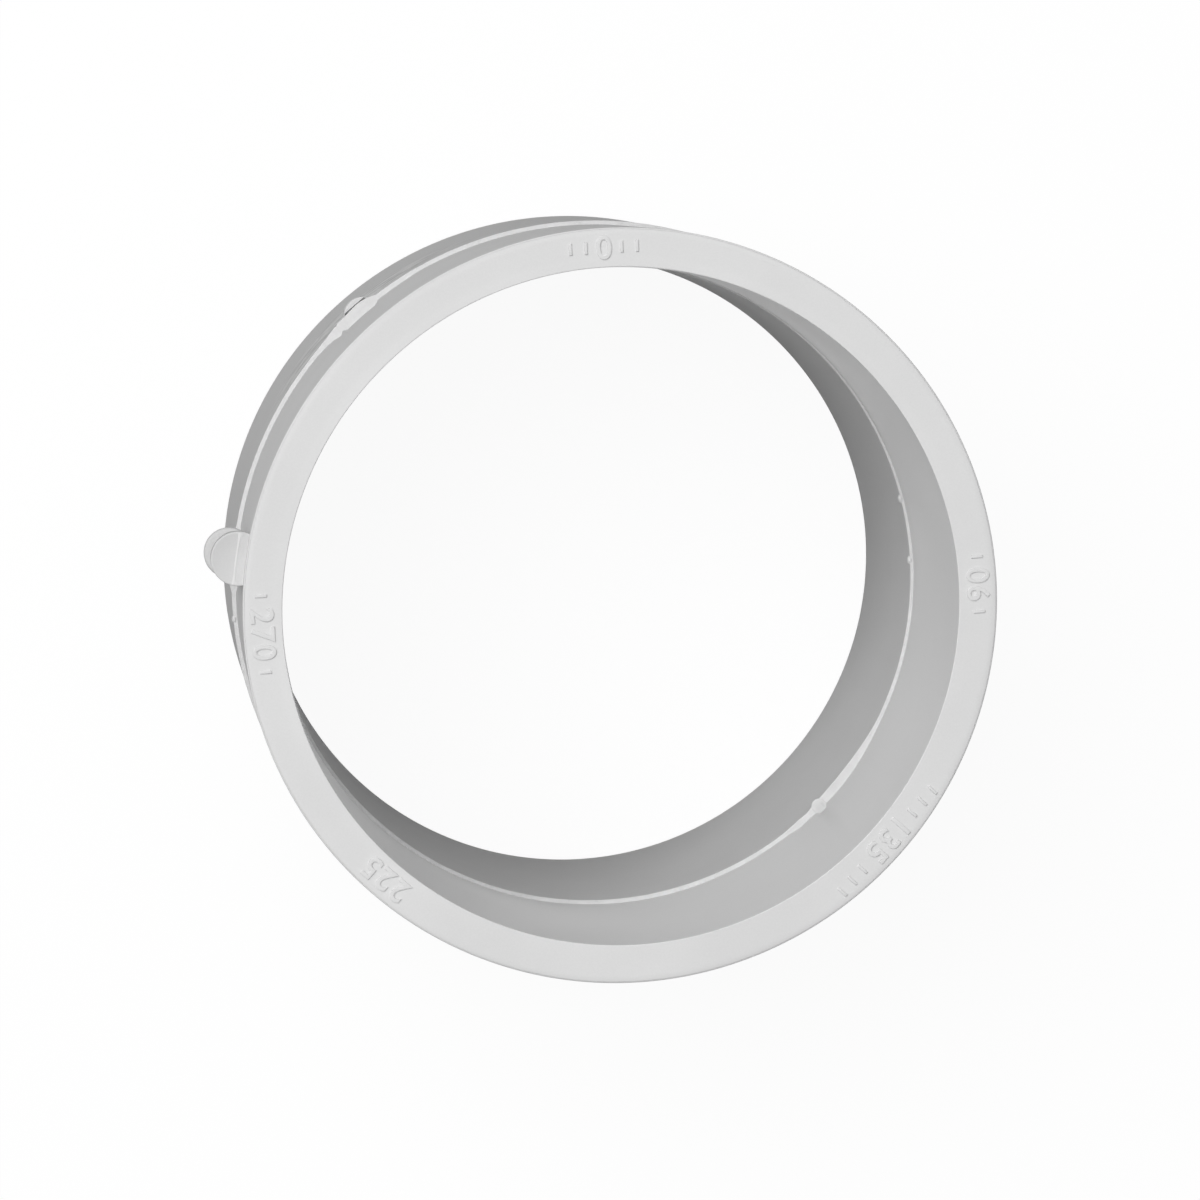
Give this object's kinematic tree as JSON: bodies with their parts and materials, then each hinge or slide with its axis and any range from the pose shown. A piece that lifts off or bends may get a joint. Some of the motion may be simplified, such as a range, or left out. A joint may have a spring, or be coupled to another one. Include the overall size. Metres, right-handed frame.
{
  "type": "drain pipe sleeve coupling",
  "caption": "Plain straight plastic sleeve that joins drain pipes end to end, with a low stop ridge half way along the bore, a small round mould lug and a raised degree scale on the front rim.",
  "frame": {"origin": "on the sleeve's axis, in the plane of the rear rim that it stands on", "axes": "+Z along the sleeve's axis from the rear rim to the front rim, which is the one with the raised scale. +Z is the side that faces the viewer in the picture. The lug is near -X. +Y is up in the picture."},
  "size_m": [0.1352, 0.129, 0.0856],
  "materials": {
    "moulded_plastic": "pale grey rigid plastic as it leaves the mould, with a fine satin grain",
    "mould_flash": "the same plastic, smoother and paler where the mould parted or the gate was cut"
  },
  "bodies": {
    "root": {"front_socket": "moulded_plastic", "rear_socket": "moulded_plastic", "centre_band": "moulded_plastic", "stop_swell": "mould_flash", "stop_knob": "mould_flash", "stop_smear": "mould_flash", "stop_nub_upper": "mould_flash", "stop_nub_lower": "mould_flash", "outer_nub": "mould_flash", "lug_front_disc": "moulded_plastic", "lug_neck": "moulded_plastic", "lug_rear_disc": "moulded_plastic", "gate_lump": "mould_flash", "gate_stub": "mould_flash", "scale_0": "moulded_plastic", "scale_90": "moulded_plastic", "scale_135": "moulded_plastic", "scale_225": "moulded_plastic", "scale_270": "moulded_plastic"}
  },
  "joints": []
}
